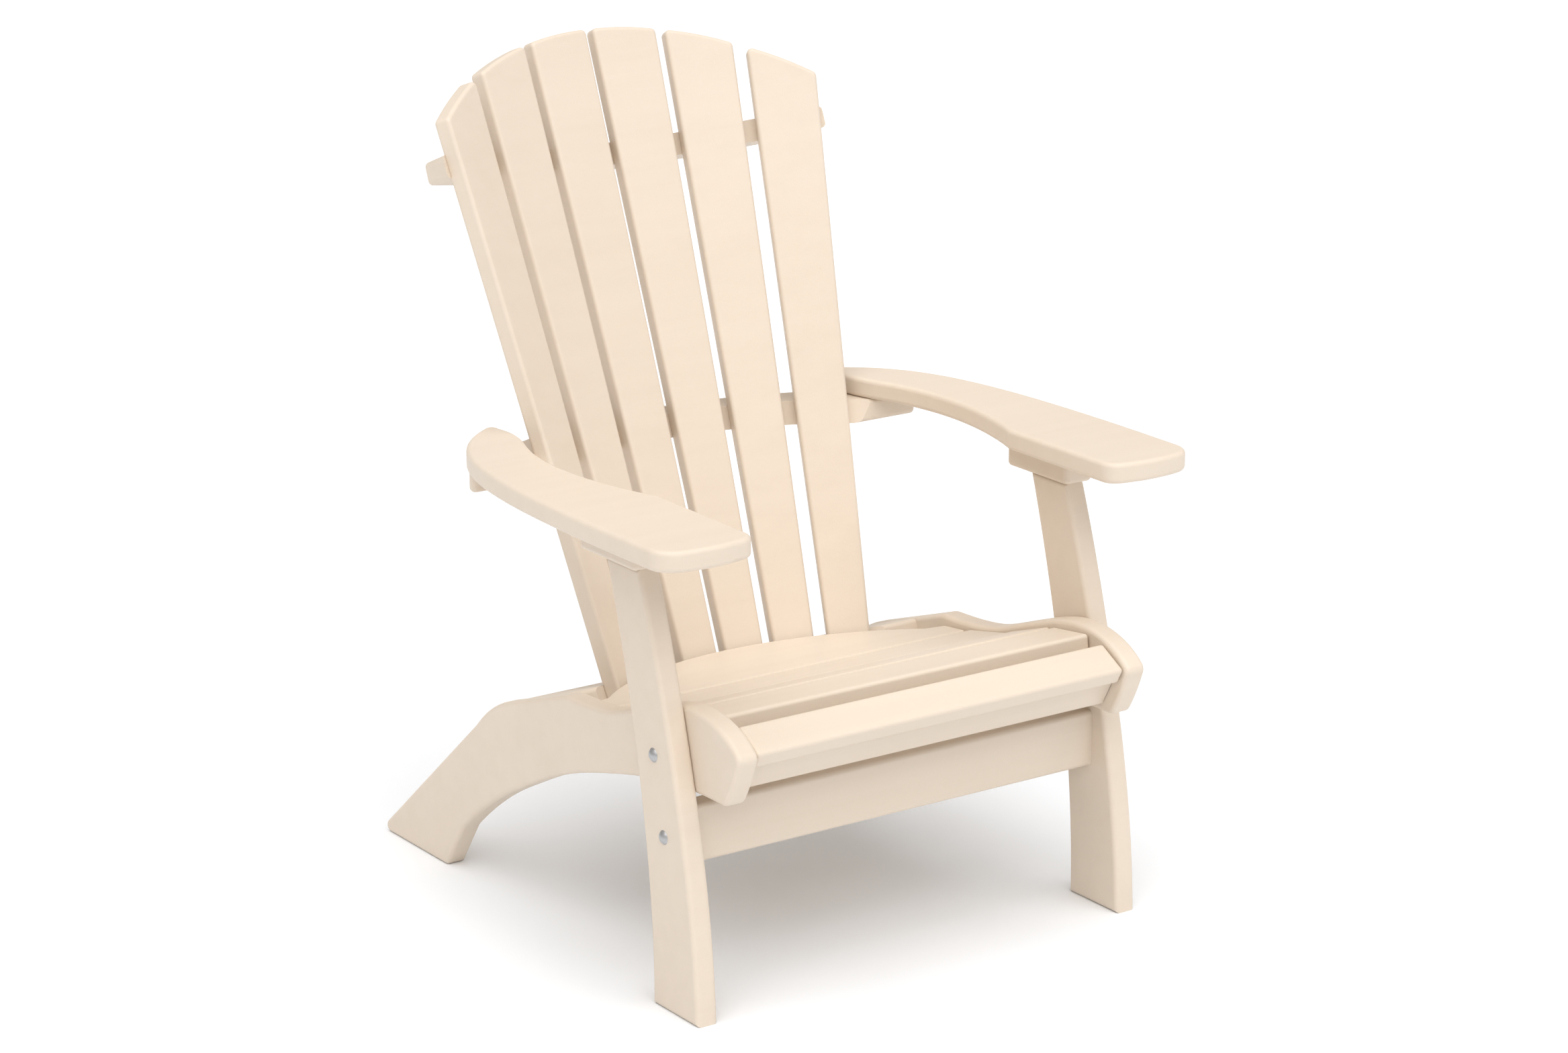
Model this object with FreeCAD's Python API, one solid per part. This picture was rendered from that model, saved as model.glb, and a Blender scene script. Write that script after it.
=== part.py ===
# Adirondack garden chair in recycled-plastic lumber, built board by board.
# Right and left are as seen from the front: right is +X.  The sitter faces -Y.
# The floor is Z = 0 and the origin is under the middle of the chair.
import FreeCAD, Part
import math
import os

os.makedirs("parts", exist_ok=True)

V = FreeCAD.Vector

# ---- board stock ---------------------------------------------------------
FRAME_T = 30.0          # stringers, front legs, apron and back rails
ARM_T = 27.0            # arm boards
SLAT_T = 24.0           # seat and back slats
FASCIA_T = 20.0         # board under the nose of the seat
PAD_T = 38.0            # blocks between legs and arms
CLEAT_T = 20.0          # hidden strips that carry the seat slats
EDGE_R = 6.0            # rounded-over long edges of the frame boards
SLAT_R = 5.0            # rounded-over edges of the slats

# ---- overall layout ------------------------------------------------------
STRINGER_IN = 280.0     # inner face of a stringer from the middle plane
STRINGER_OUT = STRINGER_IN + FRAME_T
LEG_OUT = STRINGER_OUT + FRAME_T
LEG_H = 548.0           # floor to the top of a front leg
ARM_Z = LEG_H + PAD_T   # underside of the arms

# ---- back ----------------------------------------------------------------
LEAN = math.radians(21.3)      # lean of the back from vertical
BACK_FOOT = V(0, 444.0, 296.0)  # front of the back where it meets the seat
FOOT_R = 380.0          # hollow curve across the front of the back, at its foot
FAN_R = 548.0           # the same at height FAN_REF: the back is part of a cone
SLAT_START = -48.0      # slat foot, measured along the back
TOP_R = 430.0           # arc across the slat tops
TOP_CENTRE = 408.0      # centre of that arc, measured along the back
FAN_REF = 800.0         # height along the back where FAN_R and SLAT_W_TOP apply
SLAT_ANGLES = (0.092, 0.280, 0.478)     # slat centres round the hollow, in radians
SLAT_W_FOOT = 57.5
SLAT_W_TOP = 91.5
BITE = 1.0              # how far the slats are let into the rails
SLAT_TIP_R = 7.0        # rounded corners of the slat tops

UP = V(0, math.sin(LEAN), math.cos(LEAN))
BACKWARD = V(0, math.cos(LEAN), -math.sin(LEAN))
ACROSS = V(1, 0, 0)

parts = {}


# ---- shape helpers -------------------------------------------------------
def line(a, b):
    return Part.makeLine(V(*a, 0), V(*b, 0))


def spline(points):
    curve = Part.BSplineCurve()
    curve.interpolate([V(*p, 0) for p in points])
    return curve.toShape()


def arc(a, b, c):
    return Part.Arc(V(*a, 0), V(*b, 0), V(*c, 0)).toShape()


def is_through(edge, thickness):
    """True for an edge that runs straight through the board."""
    box = edge.BoundBox
    return box.XLength + box.YLength < 1e-4 and abs(box.ZLength - thickness) < 1e-4


def board(edges, thickness, corners=(), edge_r=EDGE_R):
    """A board cut to an outline: (x, y, radius) corners, then rounded edges."""
    face = Part.Face(Part.Wire(Part.__sortEdges__(edges)))
    solid = face.extrude(V(0, 0, thickness))
    for x, y, radius in corners:
        near = [e for e in solid.Edges if is_through(e, thickness)
                and math.hypot(e.BoundBox.XMin - x, e.BoundBox.YMin - y) < 0.5]
        solid = solid.makeFillet(radius, near)
    rims = [e for e in solid.Edges
            if e.BoundBox.ZLength < 1e-4 and e.Length > 0.01]
    if edge_r:
        solid = solid.makeFillet(edge_r, rims)
    return solid


def place(shape, origin, xdir, ydir):
    """Lay a board drawn in its own plane into the chair."""
    zdir = xdir.cross(ydir)
    matrix = FreeCAD.Matrix(xdir.x, ydir.x, zdir.x, origin.x,
                            xdir.y, ydir.y, zdir.y, origin.y,
                            xdir.z, ydir.z, zdir.z, origin.z,
                            0, 0, 0, 1)
    return shape.transformed(matrix)


def mirrored(shape):
    return shape.mirror(V(0, 0, 0), V(1, 0, 0))


def both_sides(name, right_shape):
    parts[name + "_right"] = right_shape
    parts[name + "_left"] = mirrored(right_shape)


def side_board(edges, x_inner, thickness, corners=(), edge_r=EDGE_R):
    """A board standing in a plane of constant X, drawn in (y, z)."""
    solid = board(edges, thickness, corners, edge_r)
    return place(solid, V(x_inner, 0, 0), V(0, 1, 0), V(0, 0, 1))


def plank(front, tilt, width, half_length, thickness, edge_r=SLAT_R):
    """A straight seat board: top front corner (y, z), tilt up to the rear."""
    along = V(0, math.cos(tilt), math.sin(tilt))
    down = V(0, math.sin(tilt), -math.cos(tilt))
    solid = Part.makeBox(2 * half_length, width, thickness)
    solid = solid.makeFillet(edge_r, solid.Edges)
    start = V(-half_length, front[0], front[1]) + down * thickness
    return place(solid, start, ACROSS, along)


# ---- stringers: one board from the nose of the seat to the rear foot ------
NOSE_TIP = (-51.0, 348.0)
NOSE_MIDDLE = (-37.0, 312.0)
NOSE_HEEL = (-20.0, 281.0)
HUMP_FRONT = (336.0, 323.0)
HUMP_REAR = (491.0, 270.0)
HEEL = (818.5, 0.0)
TOE = (643.0, 0.0)
NOSE_TIP_R = 12.0
NOSE_HEEL_R = 14.0
HUMP_R = 30.0
HEEL_R = 9.0
TOE_R = 7.0

seat_line = [NOSE_TIP, (-22.0, 370.0), (8.0, 381.0), (48.0, 385.5), (95.0, 378.5),
             (134.0, 366.0), (186.0, 347.0), (225.0, 334.0), (262.0, 327.5), HUMP_FRONT]
rear_line = [HUMP_REAR, (525.0, 251.0), (559.0, 221.5)]
arch = [TOE, (599.0, 64.5), (546.5, 107.0), (486.5, 146.0), (430.0, 175.5),
        (365.0, 206.5), (301.0, 230.0), (239.0, 247.5), (167.0, 265.0),
        (90.0, 277.0), (35.0, 281.0), NOSE_HEEL]
stringer_edges = [spline(seat_line),
                  line(HUMP_FRONT, HUMP_REAR),
                  spline(rear_line),
                  line(rear_line[-1], HEEL),
                  line(HEEL, TOE),
                  line(TOE, arch[1]),
                  spline(arch[1:]),
                  arc(NOSE_HEEL, NOSE_MIDDLE, NOSE_TIP)]
stringer = side_board(stringer_edges, STRINGER_IN, FRAME_T,
                      [(*NOSE_TIP, NOSE_TIP_R), (*NOSE_HEEL, NOSE_HEEL_R),
                       (*HUMP_FRONT, HUMP_R), (*HEEL, HEEL_R), (*TOE, TOE_R)])
both_sides("stringer", stringer)

# ---- front legs: curved and tapering, outside the stringers ---------------
leg_front = [(-4.0, 0.0), (11.0, 150.0), (42.0, 300.0), (84.0, 450.0), (117.0, LEG_H)]
leg_rear = [(190.5, LEG_H), (161.5, 450.0), (126.0, 300.0), (102.5, 150.0), (94.5, 0.0)]
leg_edges = [spline(leg_front),
             line(leg_front[-1], leg_rear[0]),
             spline(leg_rear),
             line(leg_rear[-1], leg_front[0])]
both_sides("front_leg", side_board(leg_edges, STRINGER_OUT, FRAME_T))

# ---- arm pads and arms ----------------------------------------------------
PAD_IN = 305.0
PAD_OUT = 350.0
PAD_FRONT = 111.0
PAD_REAR = 235.0
PAD_CORNER_R = 8.0
pad = Part.makeBox(PAD_OUT - PAD_IN, PAD_REAR - PAD_FRONT, PAD_T,
                   V(PAD_IN, PAD_FRONT, LEG_H))
pad_corners = [e for e in pad.Edges if is_through(e, PAD_T)]
pad = pad.makeFillet(PAD_CORNER_R, pad_corners)
pad_rims = [e for e in pad.Edges if e.BoundBox.ZMax < LEG_H + EDGE_R]
both_sides("arm_pad", pad.makeFillet(EDGE_R, pad_rims))

ARM_INNER_FRONT = (266.0, -22.0)
ARM_INNER_KNEE = (266.0, 183.0)
ARM_OUTER_FRONT = (400.0, -22.0)
ARM_INNER_FRONT_R = 22.0
ARM_INNER_KNEE_R = 25.0
ARM_OUTER_FRONT_R = 34.0
arm_outer = [ARM_OUTER_FRONT, (401.5, 108.0), (399.0, 237.0), (385.0, 385.0),
             (347.0, 503.0), (325.0, 534.0), (298.0, 560.0), (280.0, 573.0)]
arm_inner = [(262.0, 562.0), (262.0, 515.0), (280.0, 460.0), (296.0, 381.0),
             (288.0, 262.0), ARM_INNER_KNEE]
arm_edges = [line(ARM_INNER_KNEE, ARM_INNER_FRONT),
             arc(ARM_INNER_FRONT, (333.0, -33.5), ARM_OUTER_FRONT),
             spline(arm_outer),
             arc(arm_outer[-1], (268.0, 575.0), arm_inner[0]),
             spline(arm_inner)]
arm = board(arm_edges, ARM_T, [(*ARM_INNER_FRONT, ARM_INNER_FRONT_R),
                               (*ARM_OUTER_FRONT, ARM_OUTER_FRONT_R),
                               (*ARM_INNER_KNEE, ARM_INNER_KNEE_R)])
arm = place(arm, V(0, 0, ARM_Z), V(1, 0, 0), V(0, 1, 0))
both_sides("arm", arm)


# ---- back slats -----------------------------------------------------------
def hollow_radius(height):
    return FOOT_R + (FAN_R - FOOT_R) * height / FAN_REF


def on_back(angle, height):
    """A point on the front of the hollow back: round from the middle, up the slope."""
    radius = hollow_radius(height)
    return (BACK_FOOT + ACROSS * (radius * math.sin(angle)) + UP * height
            - BACKWARD * (radius * (1 - math.cos(angle))))


def slat_frame(angle):
    """Foot point on the front face, then directions up, across and out at the rear."""
    foot = on_back(angle, 0)
    along = (on_back(angle, FAN_REF) - foot).normalize()
    outward = ACROSS * math.sin(angle) + BACKWARD * math.cos(angle)
    width_dir = outward.cross(along).normalize()
    return foot, along, width_dir, along.cross(width_dir)


def back_slat(angle):
    foot, along, width_dir, rearward = slat_frame(angle)
    reach = (on_back(angle, FAN_REF) - foot).Length
    grow = (SLAT_W_TOP - SLAT_W_FOOT) / (2 * reach)

    def half_width(h):
        return 0.5 * SLAT_W_FOOT + grow * h

    def top_height(side):
        """Height at which a slat edge or its middle meets the arc across the tops."""
        low, high = 400.0, 900.0
        for _ in range(50):
            h = 0.5 * (low + high)
            p = foot + along * h + width_dir * (side * half_width(h)) - BACK_FOOT
            inside = math.hypot(p.x, p.dot(UP) - TOP_CENTRE) < TOP_R
            low, high = (h, high) if inside else (low, h)
        return low

    low_left = (-half_width(SLAT_START), SLAT_START)
    low_right = (half_width(SLAT_START), SLAT_START)
    h_left, h_mid, h_right = top_height(-1), top_height(0), top_height(1)
    top_left = (-half_width(h_left), h_left)
    top_right = (half_width(h_right), h_right)
    edges = [line(low_left, low_right), line(low_right, top_right),
             arc(top_right, (0, h_mid), top_left), line(top_left, low_left)]
    solid = board(edges, SLAT_T, [(*top_left, SLAT_TIP_R), (*top_right, SLAT_TIP_R)],
                  SLAT_R)
    return place(solid, foot + rearward * SLAT_T, width_dir, along)


for index, angle in enumerate(SLAT_ANGLES):
    right = back_slat(angle)
    parts["back_slat_%d" % (4 + index)] = right
    parts["back_slat_%d" % (3 - index)] = mirrored(right)
slat_names = ["back_slat_%d" % n for n in range(1, 7)]

# the hollow the rails are sawn to: a cone just in front of the backs of the slats
CONE_TAPER = math.atan((FAN_R - FOOT_R) / FAN_REF)
CONE_LOW = 1400.0       # distances along the axis from the tip of the cone
CONE_HIGH = 3000.0
cone_axis = UP * math.cos(CONE_TAPER) - BACKWARD * math.sin(CONE_TAPER)
cone_tip = BACK_FOOT - UP * (FOOT_R / math.tan(CONE_TAPER))
cone_radii = [d * math.tan(CONE_TAPER) + (SLAT_T - BITE) / math.cos(CONE_TAPER)
              for d in (CONE_LOW, CONE_HIGH)]
hollow = Part.makeCone(*cone_radii, CONE_HIGH - CONE_LOW, cone_tip + cone_axis * CONE_LOW,
                       cone_axis)


def cut_to_slats(rail):
    rail = rail.cut(hollow)
    return rail.cut([parts[n] for n in slat_names])


# ---- upper back rail: square to the slats -----------------------------------
UPPER_RAIL_H = 657.5    # underside of the rail, measured along the back
UPPER_HALF = 294.0
UPPER_END = -9.0        # rear corner of its ends, behind the middle of the back
UPPER_REAR = 76.0       # rear of its middle
UPPER_FRONT = -75.0     # sawn away by the hollow
UPPER_END_R = 12.0
upper_edges = [line((-UPPER_HALF, UPPER_FRONT), (UPPER_HALF, UPPER_FRONT)),
               line((UPPER_HALF, UPPER_FRONT), (UPPER_HALF, UPPER_END)),
               arc((UPPER_HALF, UPPER_END), (0, UPPER_REAR), (-UPPER_HALF, UPPER_END)),
               line((-UPPER_HALF, UPPER_END), (-UPPER_HALF, UPPER_FRONT))]
upper = board(upper_edges, FRAME_T, [(UPPER_HALF, UPPER_END, UPPER_END_R),
                                     (-UPPER_HALF, UPPER_END, UPPER_END_R)])
upper = place(upper, BACK_FOOT + UP * UPPER_RAIL_H, ACROSS, BACKWARD)
parts["upper_back_rail"] = cut_to_slats(upper)

# ---- arm-height back rail: level, its ends carry the rear of the arms ----------
ARM_RAIL_HALF = 360.0
ARM_RAIL_LAND = 487.0
ARM_RAIL_KNEE = (300.0, 539.0)
ARM_RAIL_REAR = 624.0
ARM_RAIL_END_R = 8.0
knee_x, knee_y = ARM_RAIL_KNEE
arm_rail_edges = [line((-ARM_RAIL_HALF, ARM_RAIL_LAND), (ARM_RAIL_HALF, ARM_RAIL_LAND)),
                  line((ARM_RAIL_HALF, ARM_RAIL_LAND), (knee_x, knee_y)),
                  arc((knee_x, knee_y), (0, ARM_RAIL_REAR), (-knee_x, knee_y)),
                  line((-knee_x, knee_y), (-ARM_RAIL_HALF, ARM_RAIL_LAND))]
arm_rail = board(arm_rail_edges, FRAME_T,
                 [(ARM_RAIL_HALF, ARM_RAIL_LAND, ARM_RAIL_END_R),
                  (-ARM_RAIL_HALF, ARM_RAIL_LAND, ARM_RAIL_END_R)])
arm_rail = place(arm_rail, V(0, 0, ARM_Z - FRAME_T), ACROSS, V(0, 1, 0))
parts["arm_back_rail"] = cut_to_slats(arm_rail)

# ---- lower back rail: lies in the slope of the stringer humps -------------------
hump_along = V(0, HUMP_REAR[0] - HUMP_FRONT[0], HUMP_REAR[1] - HUMP_FRONT[1]).normalize()
hump_up = ACROSS.cross(hump_along)
LOWER_FRONT = 62.0      # from the front corner of the hump, along its slope
LOWER_REAR = 163.0
LOWER_SINK = 1.0        # rail top below the line of the hump
lower = Part.makeBox(2 * STRINGER_IN, LOWER_REAR - LOWER_FRONT, FRAME_T,
                     V(-STRINGER_IN, LOWER_FRONT, 0))
lower = lower.makeFillet(EDGE_R, [e for e in lower.Edges if e.BoundBox.XLength > EDGE_R])
lower_origin = V(0, *HUMP_FRONT) - hump_up * (FRAME_T + LOWER_SINK)
parts["lower_back_rail"] = cut_to_slats(place(lower, lower_origin, ACROSS, hump_along))

# ---- seat: narrow slats over the curve, each (front corner, tilt, width) ---------
SEAT_HALF = STRINGER_IN - 1.0       # the slats stop just short of the stringers
seat_boards = {
    "seat_slat_nose": ((-45.5, 349.0), math.radians(28.9), 50.0),
    "seat_slat_crest": ((26.0, 378.0), math.radians(-7.4), 70.5),
    "seat_slat_dip_front": ((104.0, 367.0), math.radians(-18.9), 83.5),
    "seat_slat_dip_rear": ((191.0, 336.0), math.radians(-12.0), 82.0),
}
for name, (front, tilt, width) in seat_boards.items():
    parts[name] = plank(front, tilt, width, SEAT_HALF, SLAT_T)

REAR_SLAT_FRONT = (279.5, 316.0)
REAR_SLAT_TILT = math.radians(-6.4)
REAR_SLAT_SIDE = 47.0        # depth of the wide rear slat at its ends
REAR_SLAT_KNEE = (250.0, 54.0)      # where its rear edge turns into the hollow
REAR_SLAT_MID = 160.0        # depth at the middle
REAR_SLAT_CORNER = 6.0
slat_knee_x, knee_depth = REAR_SLAT_KNEE
rear_edges = [line((-SEAT_HALF, 0), (SEAT_HALF, 0)),
              line((SEAT_HALF, 0), (SEAT_HALF, REAR_SLAT_SIDE)),
              line((SEAT_HALF, REAR_SLAT_SIDE), REAR_SLAT_KNEE),
              arc(REAR_SLAT_KNEE, (0, REAR_SLAT_MID), (-slat_knee_x, knee_depth)),
              line((-slat_knee_x, knee_depth), (-SEAT_HALF, REAR_SLAT_SIDE)),
              line((-SEAT_HALF, REAR_SLAT_SIDE), (-SEAT_HALF, 0))]
rear_corners = [(side * SEAT_HALF, depth, REAR_SLAT_CORNER)
                for side in (-1, 1) for depth in (0, REAR_SLAT_SIDE)]
rear_slat = board(rear_edges, SLAT_T, rear_corners, SLAT_R)


def tilted(tilt):
    """Directions along a tilted seat board and square down through it."""
    return V(0, math.cos(tilt), math.sin(tilt)), V(0, math.sin(tilt), -math.cos(tilt))


rear_along, rear_down = tilted(REAR_SLAT_TILT)
parts["seat_slat_rear"] = place(rear_slat, V(0, *REAR_SLAT_FRONT) + rear_down * SLAT_T,
                                ACROSS, rear_along)

# ---- fascia under the nose slat, square to it ------------------------------------
nose_front, nose_tilt, nose_width = seat_boards["seat_slat_nose"]
nose_along, nose_down = tilted(nose_tilt)
FASCIA_SETBACK = 10.0
FASCIA_DEPTH = 47.0
FASCIA_R = 3.0
fascia = Part.makeBox(2 * SEAT_HALF, FASCIA_T, FASCIA_DEPTH)
fascia = fascia.makeFillet(FASCIA_R, [e for e in fascia.Edges
                                      if e.BoundBox.ZMax < FASCIA_R])
fascia_top = V(0, *nose_front) + nose_down * SLAT_T + nose_along * FASCIA_SETBACK
parts["seat_fascia"] = place(fascia, fascia_top + nose_down * FASCIA_DEPTH
                             - ACROSS * SEAT_HALF, ACROSS, nose_along)

# ---- front apron between the legs --------------------------------------------------
APRON_Y = 54.0
APRON_LOW = 186.0
APRON_HIGH = 261.0
apron = Part.makeBox(2 * STRINGER_OUT, FRAME_T, APRON_HIGH - APRON_LOW,
                     V(-STRINGER_OUT, APRON_Y, APRON_LOW))
apron = apron.makeFillet(EDGE_R, [e for e in apron.Edges if e.BoundBox.XLength > EDGE_R])
parts["front_apron"] = apron

# ---- hidden cleats along the stringers, under the seat slats and lower rail -----------
CLEAT_DROP = 26.0       # depth of a cleat
CLEAT_NOSE_DROP = 17.0  # at its front end, where it clears the fascia
CLEAT_IN = STRINGER_IN - CLEAT_T
CLEAT_MID = STRINGER_IN - 0.5 * CLEAT_T
NOSE_BEARING = (39.0, 49.0)         # part of the nose slat that rests on the cleat
LOWER_BEARING = (65.0, 155.0)       # part of the lower rail, along the hump slope


def under(front, tilt, distance):
    """A point on the underside of a seat board, at a distance from its front."""
    along, down = tilted(tilt)
    return V(0, *front) + down * SLAT_T + along * distance


def under_rail(distance):
    return lower_origin + hump_along * distance


bearings = [[under(nose_front, nose_tilt, d) for d in NOSE_BEARING]]
for name in ("seat_slat_crest", "seat_slat_dip_front", "seat_slat_dip_rear"):
    front, tilt, width = seat_boards[name]
    bearings.append([under(front, tilt, 0), under(front, tilt, width)])
bearings.append([under(REAR_SLAT_FRONT, REAR_SLAT_TILT, d)
                 for d in (0, REAR_SLAT_SIDE - REAR_SLAT_CORNER)])
bearings.append([under_rail(d) for d in LOWER_BEARING])
cleat_top = [(p.y, p.z) for pair in bearings for p in pair]
cleat_foot = [(y, z - CLEAT_DROP) for y, z in cleat_top]
cleat_foot[0] = (cleat_top[0][0], cleat_top[0][1] - CLEAT_NOSE_DROP)
outline = cleat_top + cleat_foot[::-1]
cleat_edges = [line(a, b) for a, b in zip(outline, outline[1:] + outline[:1])]
both_sides("seat_cleat", side_board(cleat_edges, CLEAT_IN, CLEAT_T, [], 0))

# ---- fasteners ---------------------------------------------------------------------
SCREW_R = 2.1
SCREW_HEAD_R = 4.2
SCREW_HEAD_T = 3.0
SCREW_TIP = 4.0
ACCESS_R = 4.8          # bore above a sunk screw head
SCREW_BITE = 17.0       # how far a screw enters the board it holds

groups = {}


def screw(seat, direction, grip):
    """A pan-head screw: seat is under the head, grip is the wood it passes first."""
    shank = grip + SCREW_BITE - SCREW_TIP
    head = Part.makeCylinder(SCREW_HEAD_R, SCREW_HEAD_T, seat - direction * SCREW_HEAD_T,
                             direction)
    body = Part.makeCylinder(SCREW_R, shank, seat, direction)
    tip = Part.makeCone(SCREW_R, 0.5 * SCREW_R, SCREW_TIP, seat + direction * shank,
                        direction)
    return head.fuse([body, tip]).removeSplitter()


def partner(name):
    """The board that mirrors a right-hand board; a board across the middle is its own."""
    if name.startswith("back_slat_"):
        return "back_slat_%d" % (7 - int(name[-1]))
    return name.replace("_right", "_left")


def drill(names, tools):
    """Cut right-hand boards with tools, and the boards that mirror them."""
    tools_left = [mirrored(tool) for tool in tools]
    for name in names:
        parts[name] = parts[name].cut(tools)
        parts[partner(name)] = parts[partner(name)].cut(tools_left)


def add_group(node, solids, boards):
    """Add right-hand solids and mirror images to a node, and fit them into boards."""
    drill(boards, solids)
    groups.setdefault(node, []).extend(solids + [mirrored(s) for s in solids])


def screw_group(node, spots, direction, grip, bore, boards):
    """Screws side by side, each with an access bore behind its head."""
    bores = [Part.makeCylinder(ACCESS_R, bore, spot, direction * -1) for spot in spots]
    add_group(node, [screw(spot, direction, grip) for spot in spots], boards)
    drill(boards, bores)


# two domed coach bolts through each front leg
BOLT_R = 4.0
BOLT_HEAD_R = 9.0
BOLT_HEAD_H = 5.0
WASHER_R = 9.0
WASHER_T = 2.0
NUT_R = 7.5
NUT_T = 6.5
BOLT_PROUD = 1.5        # end of the bolt past its nut
POCKET_R = 10.0
POCKET_DEPTH = 11.0
UPPER_BOLT = (88.0, 323.0)
LOWER_BOLT = (67.0, 224.0)
INWARD = V(-1, 0, 0)


def coach_bolt(y, z, length):
    dome_r = (BOLT_HEAD_R ** 2 + BOLT_HEAD_H ** 2) / (2 * BOLT_HEAD_H)
    dome = Part.makeSphere(dome_r, V(LEG_OUT + BOLT_HEAD_H - dome_r, y, z))
    keep = Part.makeCylinder(dome_r, BOLT_HEAD_H, V(LEG_OUT, y, z), ACROSS)
    shank = Part.makeCylinder(BOLT_R, length, V(LEG_OUT, y, z), INWARD)
    return dome.common(keep).fuse(shank)


y, z = UPPER_BOLT
washer_x = STRINGER_IN + POCKET_DEPTH
upper_bolt = coach_bolt(y, z, LEG_OUT - washer_x + WASHER_T + NUT_T + BOLT_PROUD)
pocket = Part.makeCylinder(POCKET_R, POCKET_DEPTH, V(STRINGER_IN, y, z), ACROSS)
washer = Part.makeCylinder(WASHER_R, WASHER_T, V(washer_x, y, z), INWARD)
corners = [V(washer_x - WASHER_T, y + NUT_R * math.cos(math.radians(a)),
             z + NUT_R * math.sin(math.radians(a))) for a in range(0, 361, 60)]
nut = Part.Face(Part.makePolygon(corners)).extrude(INWARD * NUT_T)
add_group("upper_leg_bolts", [upper_bolt], ["front_leg_right", "stringer_right"])
drill(["stringer_right"], [pocket])
add_group("bolt_washers", [washer.cut(upper_bolt)], [])
add_group("bolt_nuts", [nut.cut(upper_bolt)], [])

# the lower bolts run into barrel nuts across the apron
BARREL_R = 6.0
BARREL_LENGTH = 20.0
BARREL_X = STRINGER_OUT - 45.0
BARREL_FRONT = 58.0
y, z = LOWER_BOLT
lower_bolt = coach_bolt(y, z, LEG_OUT - BARREL_X + BARREL_R)
barrel = Part.makeCylinder(BARREL_R, BARREL_LENGTH, V(BARREL_X, BARREL_FRONT, z), V(0, 1, 0))
barrel_hole = Part.makeCylinder(BARREL_R, APRON_Y + FRAME_T - BARREL_FRONT,
                                V(BARREL_X, BARREL_FRONT, z), V(0, 1, 0))
add_group("lower_leg_bolts", [lower_bolt], ["front_leg_right", "front_apron"])
drill(["front_apron"], [barrel_hole])
add_group("barrel_nuts", [barrel.cut(lower_bolt)], [])

# steel pins from the leg tops up through the pads into the arms
PIN_R = 4.0
PIN_IN_LEG = 45.0
PIN_IN_ARM = 17.0
PIN_X = 325.0
PIN_Y = (137.0, 163.0)
pins = [Part.makeCylinder(PIN_R, PIN_IN_LEG + PAD_T + PIN_IN_ARM,
                          V(PIN_X, y, LEG_H - PIN_IN_LEG)) for y in PIN_Y]
add_group("arm_pins", pins, ["front_leg_right", "arm_pad_right", "arm_right"])

# screws from below into the arms: through the pads and through the arm rail
SKYWARD = V(0, 0, 1)
PAD_SINK = 10.0
RAIL_SINK = 8.0
PAD_SCREWS = ((316.0, 214.0), (336.0, 214.0))
REAR_SCREWS = ((284.0, 520.0), (312.0, 511.0))
screw_group("arm_pad_screws", [V(x, y, LEG_H + PAD_SINK) for x, y in PAD_SCREWS],
            SKYWARD, PAD_T - PAD_SINK, PAD_SINK, ["arm_pad_right", "arm_right"])
screw_group("arm_rear_screws", [V(x, y, ARM_Z - FRAME_T + RAIL_SINK)
                                for x, y in REAR_SCREWS],
            SKYWARD, FRAME_T - RAIL_SINK, RAIL_SINK, ["arm_back_rail", "arm_right"])

# screws through the cleats: across into the stringers, and up into the seat
CLEAT_SINK = 4.0
CLEAT_SCREW_Y = (40.0, 107.0, 190.0, 276.0, 372.0, 436.0)


def cleat_middle(y):
    """Height of the middle of a cleat at a distance y from front to rear."""
    spans = zip(cleat_top, cleat_top[1:])
    (y0, z0), (y1, z1) = next(span for span in spans if span[0][0] <= y <= span[1][0])
    return z0 + (z1 - z0) * (y - y0) / (y1 - y0) - 0.5 * CLEAT_DROP


screw_group("cleat_screws", [V(CLEAT_IN + CLEAT_SINK, y, cleat_middle(y))
                             for y in CLEAT_SCREW_Y],
            ACROSS, CLEAT_T - CLEAT_SINK, CLEAT_SINK, ["seat_cleat_right", "stringer_right"])

SEAT_GRIP = 16.0
NOSE_SCREW = 42.0       # from the front of the nose slat
LOWER_SCREWS = (80.0, 142.0)        # along the hump slope
seat_fixings = [("seat_slat_nose", under(nose_front, nose_tilt, NOSE_SCREW), nose_down)]
for name, (front, tilt, width) in list(seat_boards.items())[1:]:
    seat_fixings.append((name, under(front, tilt, 0.5 * width), tilted(tilt)[1]))
seat_fixings.append(("seat_slat_rear", under(REAR_SLAT_FRONT, REAR_SLAT_TILT,
                                             0.5 * REAR_SLAT_SIDE), rear_down))
for distance in LOWER_SCREWS:
    seat_fixings.append(("lower_back_rail", under_rail(distance), hump_up * -1))
for name, spot, down in seat_fixings:
    screw_group("seat_screws", [spot + ACROSS * CLEAT_MID + down * SEAT_GRIP],
                down * -1, SEAT_GRIP, CLEAT_DROP, ["seat_cleat_right", name])

# screws up through the fascia into the nose slat
FASCIA_GRIP = 22.0
FASCIA_SCREW_X = (80.0, 225.0)
fascia_mid = fascia_top + nose_along * (0.5 * FASCIA_T) + nose_down * FASCIA_GRIP
screw_group("fascia_screws", [fascia_mid + ACROSS * x for x in FASCIA_SCREW_X],
            nose_down * -1, FASCIA_GRIP, FASCIA_DEPTH, ["seat_fascia", "seat_slat_nose"])

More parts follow.
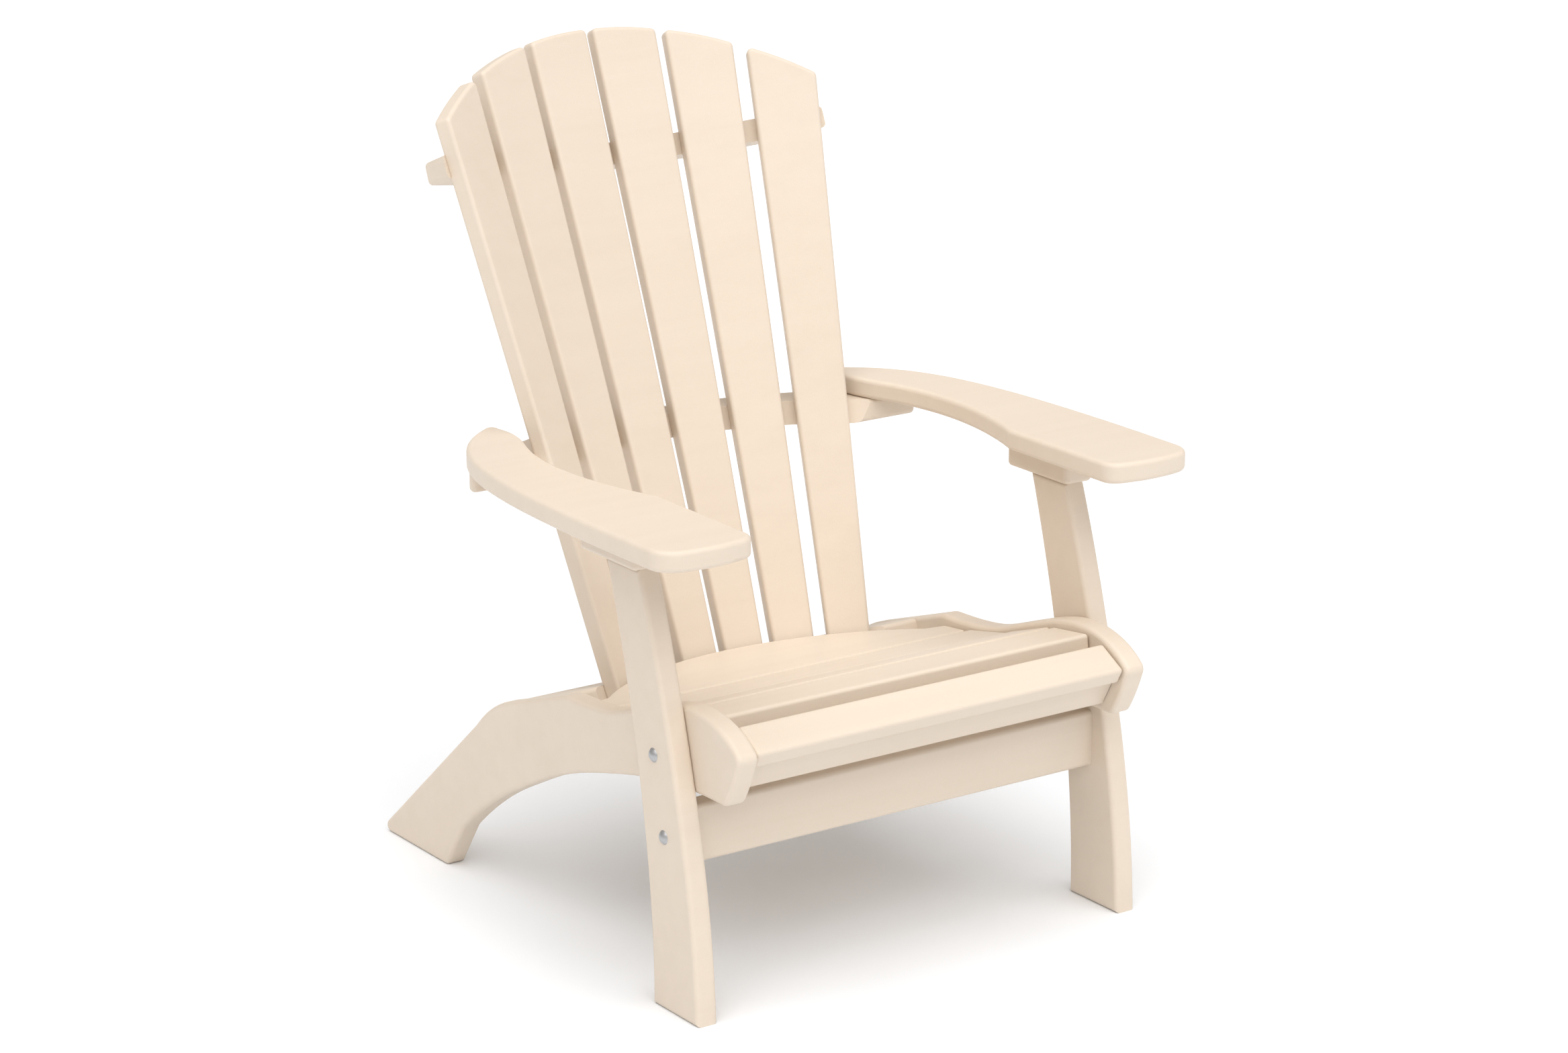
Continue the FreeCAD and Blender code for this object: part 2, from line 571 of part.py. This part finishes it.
# screws from behind through the three back rails, two into every slat
# direction square to the rail, its mid-height, grip on the slat, half the screw spacing
rail_fixings = {
    "upper_back_rail": (UP, BACK_FOOT + UP * (UPPER_RAIL_H + 0.5 * FRAME_T), 20.0, 18.0),
    "arm_back_rail": (SKYWARD, V(0, 0, ARM_Z - 0.5 * FRAME_T), 20.0, 15.0),
    "lower_back_rail": (hump_up, lower_origin + hump_up * (0.5 * FRAME_T), 9.0, 12.0),
}
RAIL_BORE = 70.0
for rail_name, (square, middle, grip, spread) in rail_fixings.items():
    node = rail_name.replace("_back_rail", "_rail_screws")
    for index, angle in enumerate(SLAT_ANGLES):
        foot, along, width_dir, rearward = slat_frame(angle)
        level = (rearward - square * rearward.dot(square)).normalize()
        through = level * (SLAT_T / level.dot(rearward))
        spots = []
        for side in (-spread, spread):
            start = foot + width_dir * side + through
            climb = (middle - start).dot(square) / along.dot(square)
            spots.append(start + along * climb + level * grip)
        screw_group(node, spots, level * -1, grip, RAIL_BORE,
                    [rail_name, "back_slat_%d" % (4 + index)])

for node, solids in groups.items():
    parts[node] = Part.makeCompound(solids)

# ---- write the boards, with the origin under the middle of the chair --------------------
front_end = min(shape.BoundBox.YMin for shape in parts.values())
rear_end = max(shape.BoundBox.YMax for shape in parts.values())
for name, shape in parts.items():
    shape.translate(V(0, -0.5 * (front_end + rear_end), 0))
    shape.exportStep("parts/%s.step" % name)
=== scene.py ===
import math

import bpy
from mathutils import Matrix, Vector

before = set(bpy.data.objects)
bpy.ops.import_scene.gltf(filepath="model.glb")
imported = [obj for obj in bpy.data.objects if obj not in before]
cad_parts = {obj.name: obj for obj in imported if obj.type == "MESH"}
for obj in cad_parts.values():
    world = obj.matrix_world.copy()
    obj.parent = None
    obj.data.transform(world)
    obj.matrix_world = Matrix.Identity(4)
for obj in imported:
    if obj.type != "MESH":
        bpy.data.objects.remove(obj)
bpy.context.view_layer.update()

# ---- camera: three-quarter view from the sitter's right, looking down from eye height ----
CAMERA_AZIMUTH = -34.89
CAMERA_ELEVATION = 16.47
CAMERA_PLACE = (-2.92586, -4.27026, 2.01217)
SENSOR = 36.0
LENS = 96.18
CLIP_NEAR = 0.1
CLIP_FAR = 100.0

camera_data = bpy.data.cameras.new("camera")
camera_data.sensor_width = SENSOR
camera_data.lens = LENS
camera_data.clip_start = CLIP_NEAR
camera_data.clip_end = CLIP_FAR
camera = bpy.data.objects.new("camera", camera_data)
camera.location = CAMERA_PLACE
camera.rotation_euler = (math.radians(90.0 - CAMERA_ELEVATION), 0.0,
                         math.radians(CAMERA_AZIMUTH))
bpy.context.scene.collection.objects.link(camera)
bpy.context.scene.camera = camera


# ---- building blocks of the materials ------------------------------------------------
def link(tree, source, socket, target, name):
    tree.links.new(source.outputs[socket], target.inputs[name])


def start_material(name, surface):
    """A new material whose shader has the given even settings."""
    material = bpy.data.materials.new(name)
    material.use_nodes = True
    shader = material.node_tree.nodes["Principled BSDF"]
    for socket, value in surface.items():
        shader.inputs[socket].default_value = value
    return material, material.node_tree, shader


def noise(tree, source, socket, settings):
    """Noise over the source's coordinates; settings are scale, detail and roughness."""
    node = tree.nodes.new("ShaderNodeTexNoise")
    for name, value in zip(("Scale", "Detail", "Roughness"), settings):
        node.inputs[name].default_value = value
    link(tree, source, socket, node, "Vector")
    return node


def blend(tree, first, second, share):
    """A mix of two values; share is the part of the second."""
    node = tree.nodes.new("ShaderNodeMix")
    node.data_type = "FLOAT"
    node.inputs["Factor"].default_value = share
    tree.links.new(first, node.inputs[2])
    tree.links.new(second, node.inputs[3])
    return node.outputs[0]


def set_roughness(tree, pattern, shader, pattern_range, roughness_range):
    """Roughness that follows a pattern."""
    node = tree.nodes.new("ShaderNodeMapRange")
    node.inputs["From Min"].default_value, node.inputs["From Max"].default_value = pattern_range
    node.inputs["To Min"].default_value, node.inputs["To Max"].default_value = roughness_range
    link(tree, pattern, "Fac", node, "Value")
    link(tree, node, "Result", shader, "Roughness")


def relief(tree, pattern, settings):
    """Bumps that follow a pattern; settings are strength and depth in metres."""
    node = tree.nodes.new("ShaderNodeBump")
    for name, value in zip(("Strength", "Distance"), settings):
        node.inputs[name].default_value = value
    link(tree, pattern, "Fac", node, "Height")
    return node


# ---- boards: moulded plastic lumber ----------------------------------------------------
SAND_DEEP = (0.744, 0.648, 0.544)
SAND = (0.762, 0.668, 0.566)
SAND_PALE = (0.780, 0.686, 0.584)
DEEP_AT = 0.32          # where each tone lies in the mixed pattern
SAND_AT = 0.5
PALE_AT = 0.72
LUMBER_SURFACE = {"IOR": 1.49,
                  "Specular IOR Level": 0.42,
                  "Subsurface Weight": 0.06,
                  "Subsurface Radius": (0.006, 0.004, 0.003),
                  "Subsurface Scale": 0.5}
STREAK_STRETCH = (1.6, 42.0, 42.0)      # streaks are long in the board's own direction
STREAK_SHIFT = (1.0, 1.7, 0.6)          # how a board's offset moves its streaks
STREAK = (1.0, 4.0, 0.55)
CLOUD = (7.0, 3.0, 0.5)
PEBBLE = (520.0, 2.5, 0.6)
CLOUD_SHARE = 0.35
PEBBLE_SHARE = 0.30
PEBBLE_RANGE = (0.3, 0.7)
LUMBER_ROUGHNESS = (0.42, 0.54)
PEBBLE_RELIEF = (0.16, 0.0006)
STREAK_RELIEF = (0.12, 0.0015)


def lumber_material(name, direction, offset):
    """Faint streaks along the board, pebble grain and a soft sheen."""
    material, tree, shader = start_material(name, LUMBER_SURFACE)
    coordinates = tree.nodes.new("ShaderNodeTexCoord")
    along = tree.nodes.new("ShaderNodeMapping")
    along.inputs["Location"].default_value = [offset * shift for shift in STREAK_SHIFT]
    along.inputs["Rotation"].default_value = direction
    along.inputs["Scale"].default_value = STREAK_STRETCH
    link(tree, coordinates, "Object", along, "Vector")
    streak = noise(tree, along, "Vector", STREAK)
    cloud = noise(tree, coordinates, "Object", CLOUD)
    pebble = noise(tree, coordinates, "Object", PEBBLE)

    tones = tree.nodes.new("ShaderNodeValToRGB")
    deep, pale = tones.color_ramp.elements
    deep.position, deep.color = DEEP_AT, (*SAND_DEEP, 1.0)
    pale.position, pale.color = PALE_AT, (*SAND_PALE, 1.0)
    tones.color_ramp.elements.new(SAND_AT).color = (*SAND, 1.0)
    pattern = blend(tree, streak.outputs["Fac"], cloud.outputs["Fac"], CLOUD_SHARE)
    pattern = blend(tree, pattern, pebble.outputs["Fac"], PEBBLE_SHARE)
    tree.links.new(pattern, tones.inputs["Fac"])
    link(tree, tones, "Color", shader, "Base Color")

    set_roughness(tree, pebble, shader, PEBBLE_RANGE, LUMBER_ROUGHNESS)
    grain = relief(tree, pebble, PEBBLE_RELIEF)
    link(tree, relief(tree, streak, STREAK_RELIEF), "Normal", grain, "Normal")
    link(tree, grain, "Normal", shader, "Normal")
    return material


# ---- fasteners: stainless steel ----------------------------------------------------------
STEEL_SURFACE = {"Metallic": 1.0}
STEEL_DARK = (0.40, 0.40, 0.40)
STEEL_BRIGHT = (0.66, 0.66, 0.67)
BRUSH = (900.0, 3.0, 0.5)
BRUSH_RANGE = (0.0, 1.0)
STEEL_ROUGHNESS = (0.40, 0.52)
BRUSH_RELIEF = (0.08, 0.0003)


def steel_material():
    """A fine, even cloudiness in tone and sheen."""
    material, tree, shader = start_material("steel", STEEL_SURFACE)
    coordinates = tree.nodes.new("ShaderNodeTexCoord")
    brush = noise(tree, coordinates, "Object", BRUSH)
    tones = tree.nodes.new("ShaderNodeValToRGB")
    dark, bright = tones.color_ramp.elements
    dark.color = (*STEEL_DARK, 1.0)
    bright.color = (*STEEL_BRIGHT, 1.0)
    link(tree, brush, "Fac", tones, "Fac")
    link(tree, tones, "Color", shader, "Base Color")
    set_roughness(tree, brush, shader, BRUSH_RANGE, STEEL_ROUGHNESS)
    link(tree, relief(tree, brush, BRUSH_RELIEF), "Normal", shader, "Normal")
    return material


# ---- a material on every piece --------------------------------------------------------------
QUARTER = math.radians(90.0)
ALONG_X = (0.0, 0.0, 0.0)
ALONG_Y = (0.0, 0.0, QUARTER)
ALONG_Z = (0.0, QUARTER, 0.0)
RUNS = {"stringer": ALONG_Y, "arm_left": ALONG_Y, "arm_right": ALONG_Y,
        "arm_pad": ALONG_Y, "seat_cleat": ALONG_Y, "front_leg": ALONG_Z,
        "back_slat": ALONG_Z}
METAL = ("bolt", "screws", "nuts", "pins")
BOARD_STEP = 0.37       # shifts the streaks from board to board

steel = steel_material()
for index, (name, node) in enumerate(sorted(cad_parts.items())):
    if any(word in name for word in METAL):
        material = steel
    else:
        run = next((r for key, r in RUNS.items() if name.startswith(key)), ALONG_X)
        material = lumber_material("lumber_" + name, run, BOARD_STEP * index)
    node.data.materials.clear()
    node.data.materials.append(material)

# ---- floor and light ------------------------------------------------------------------
FLOOR_REACH = 30.0
FLOOR_SURFACE = {"Base Color": (0.93, 0.95, 0.98, 1.0), "Roughness": 0.9}
STUDIO_COLOR = (1.0, 0.98, 0.95, 1.0)
STUDIO_STRENGTH = 0.57
KEY_TOWARD = (0.17, 0.38, -0.91)
KEY_STRENGTH = 2.20
KEY_SPREAD = 76.0       # degrees: a large, soft source
EXPOSURE = 0.06
GAMMA = 0.87

floor_mesh = bpy.data.meshes.new("floor")
floor_mesh.from_pydata([(-FLOOR_REACH, -FLOOR_REACH, 0), (FLOOR_REACH, -FLOOR_REACH, 0),
                        (FLOOR_REACH, FLOOR_REACH, 0), (-FLOOR_REACH, FLOOR_REACH, 0)],
                       [], [(0, 1, 2, 3)])
floor = bpy.data.objects.new("floor", floor_mesh)
bpy.context.scene.collection.objects.link(floor)
floor_mesh.materials.append(start_material("floor_paint", FLOOR_SURFACE)[0])

world = bpy.data.worlds.new("studio")
world.use_nodes = True
background = world.node_tree.nodes["Background"]
background.inputs["Color"].default_value = STUDIO_COLOR
background.inputs["Strength"].default_value = STUDIO_STRENGTH
bpy.context.scene.world = world

key_data = bpy.data.lights.new("key", "SUN")
key_data.energy = KEY_STRENGTH
key_data.angle = math.radians(KEY_SPREAD)
key = bpy.data.objects.new("key", key_data)
key.rotation_euler = Vector(KEY_TOWARD).to_track_quat("-Z", "Y").to_euler()
bpy.context.scene.collection.objects.link(key)

view = bpy.context.scene.view_settings
view.view_transform = "Standard"
view.exposure = EXPOSURE
view.gamma = GAMMA
